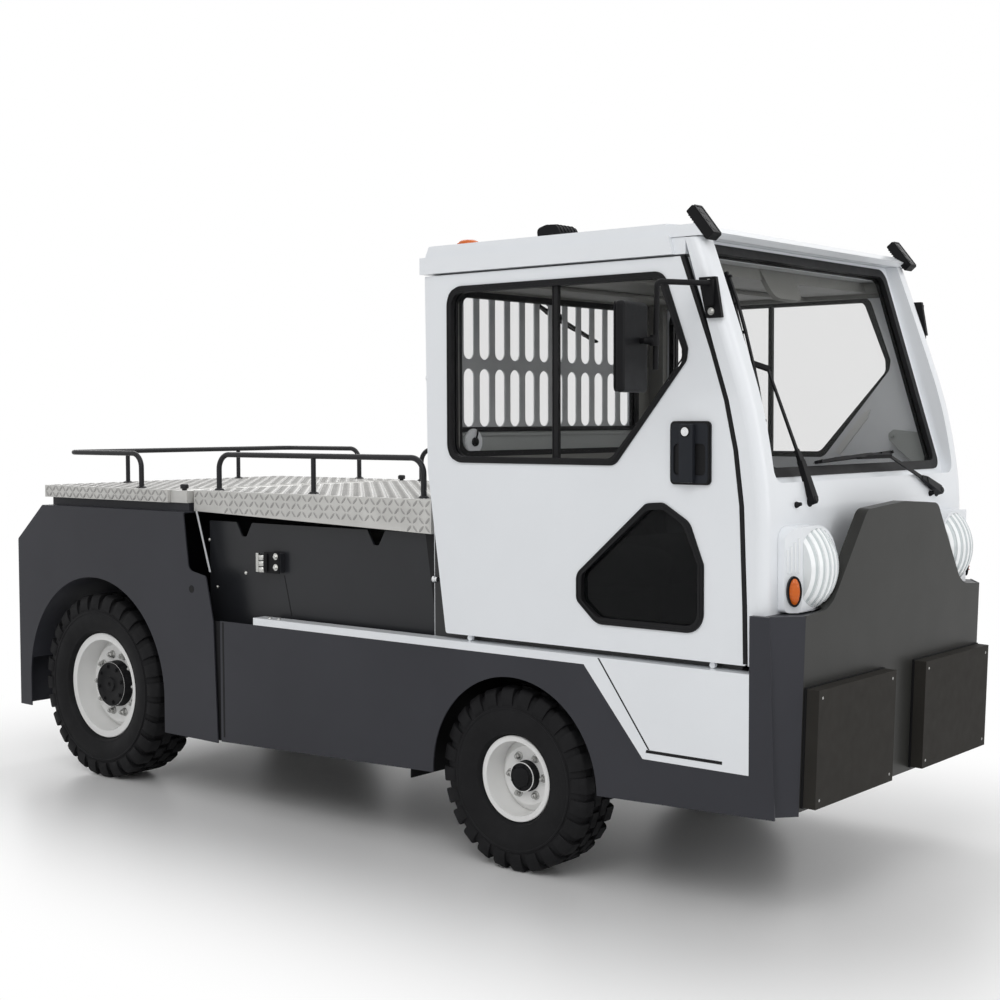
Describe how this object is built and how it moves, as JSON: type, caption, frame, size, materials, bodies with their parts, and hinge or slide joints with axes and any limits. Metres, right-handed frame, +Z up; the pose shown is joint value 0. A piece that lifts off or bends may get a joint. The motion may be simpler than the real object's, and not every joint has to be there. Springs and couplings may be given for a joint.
{
  "type": "airport baggage tug",
  "caption": "Electric baggage tug with a two-seat glazed cab, sliding doors, a low load deck over the battery, push pads in front and a stepped tow hitch behind.",
  "frame": {"origin": "middle of the overall box, on the ground", "axes": "+X forward, +Y to the vehicle's left, +Z up"},
  "size_m": [3.7694, 1.8982, 2.033],
  "materials": {
    "amber": "gloss",
    "battery_case": "matte",
    "black_plastic": "satin",
    "black_rubber": "matte",
    "body_grey": "satin",
    "bright_steel": "gloss",
    "cab_white": "gloss",
    "chassis_black": "satin",
    "lamp_white": "gloss",
    "lens_glass": "gloss",
    "rail_black": "satin",
    "red_lens": "gloss",
    "rim_white": "satin",
    "seat_cover": "matte",
    "tread_plate": "satin",
    "tyre_rubber": "matte",
    "window_glass": "gloss"
  },
  "bodies": {
    "vehicle": {"battery_block": "battery_case", "battery_tray": "chassis_black", "beacon": "black_plastic", "cab_frame": "cab_white", "cab_front": "cab_white", "cab_glass": "window_glass", "chassis_frame": "chassis_black", "dashboard": "black_plastic", "door_rails": "cab_white", "front_axle": "chassis_black", "front_plate": "body_grey", "headlight_housings": "lamp_white", "headlight_lenses": "lens_glass", "marker_lamps": "amber", "mirrors": "black_plastic", "push_pads": "black_rubber", "rear_axle": "chassis_black", "rear_deck": "tread_plate", "rear_fenders": "body_grey", "rear_guard": "rail_black", "rear_lamps": "red_lens", "rear_panel": "body_grey", "rear_rail": "rail_black", "roof": "cab_white", "roof_vent": "black_plastic", "seats": "seat_cover", "side_skirts": "body_grey", "splash_plates": "black_plastic", "tow_hitch": "chassis_black", "window_seals": "black_rubber", "wipers": "black_plastic", "work_lamps": "black_plastic"},
    "door_right": {"door_right": "cab_white", "door_seals_right": "black_rubber", "door_glass_right": "window_glass"},
    "door_left": {"door_left": "cab_white", "door_seals_left": "black_rubber", "door_glass_left": "window_glass"},
    "deck_lid": {"deck_lid": "tread_plate", "lid_rails": "rail_black"},
    "knuckle_right": {"knuckle_right": "chassis_black"},
    "knuckle_left": {"knuckle_left": "chassis_black"},
    "front_wheel_right": {"front_tyre_right": "tyre_rubber", "front_rim_right": "rim_white"},
    "front_wheel_left": {"front_tyre_left": "tyre_rubber", "front_rim_left": "rim_white"},
    "rear_wheel_right": {"rear_tyre_right": "tyre_rubber", "rear_rim_right": "rim_white"},
    "rear_wheel_left": {"rear_tyre_left": "tyre_rubber", "rear_rim_left": "rim_white"},
    "steering_rod": {"steering_rod": "bright_steel"},
    "steering_wheel": {"steering_wheel": "black_plastic"}
  },
  "joints": [
    {"name": "rear_wheel_right_spin", "type": "hinge", "parent": "vehicle", "child": "rear_wheel_right", "pos_m": [-1.27967, -0.5425, 0.367], "axis": [0, 1, 0], "continuous": true},
    {"name": "rear_wheel_left_spin", "type": "hinge", "parent": "vehicle", "child": "rear_wheel_left", "pos_m": [-1.27967, 0.5425, 0.367], "axis": [0, 1, 0], "continuous": true},
    {"name": "knuckle_right_steer", "type": "hinge", "parent": "vehicle", "child": "knuckle_right", "pos_m": [0.84533, -0.455, 0.292], "axis": [0, 0, 1], "range_deg": [-32, 32]},
    {"name": "front_wheel_right_spin", "type": "hinge", "parent": "knuckle_right", "child": "front_wheel_right", "pos_m": [0.84533, -0.56, 0.292], "axis": [0, 1, 0], "continuous": true},
    {"name": "knuckle_left_steer", "type": "hinge", "parent": "vehicle", "child": "knuckle_left", "pos_m": [0.84533, 0.455, 0.292], "axis": [0, 0, 1], "range_deg": [-32, 32]},
    {"name": "front_wheel_left_spin", "type": "hinge", "parent": "knuckle_left", "child": "front_wheel_left", "pos_m": [0.84533, 0.56, 0.292], "axis": [0, 1, 0], "continuous": true},
    {"name": "steering_rod_slide", "type": "slide", "parent": "vehicle", "child": "steering_rod", "axis": [0, 1, 0], "range_m": [-0.0695, 0.0695]},
    {"name": "steering_wheel_turn", "type": "hinge", "parent": "vehicle", "child": "steering_wheel", "pos_m": [1.38033, 0.29, 1.16], "axis": [-0.4695, 0, 0.8829], "continuous": true},
    {"name": "door_right_slide", "type": "slide", "parent": "vehicle", "child": "door_right", "axis": [-1, 0, 0], "range_m": [0, 0.85]},
    {"name": "door_left_slide", "type": "slide", "parent": "vehicle", "child": "door_left", "axis": [-1, 0, 0], "range_m": [0, 0.85]},
    {"name": "deck_lid_hinge", "type": "hinge", "parent": "vehicle", "child": "deck_lid", "pos_m": [-0.74067, 0, 1.16], "axis": [0, -1, 0], "range_deg": [0, 70]}
  ],
  "couplings": [
    {"joint": "knuckle_left_steer", "follows": "knuckle_right_steer", "ratio": 1},
    {"joint": "steering_rod_slide", "follows": "knuckle_right_steer", "m_per_rad": -0.1235}
  ]
}
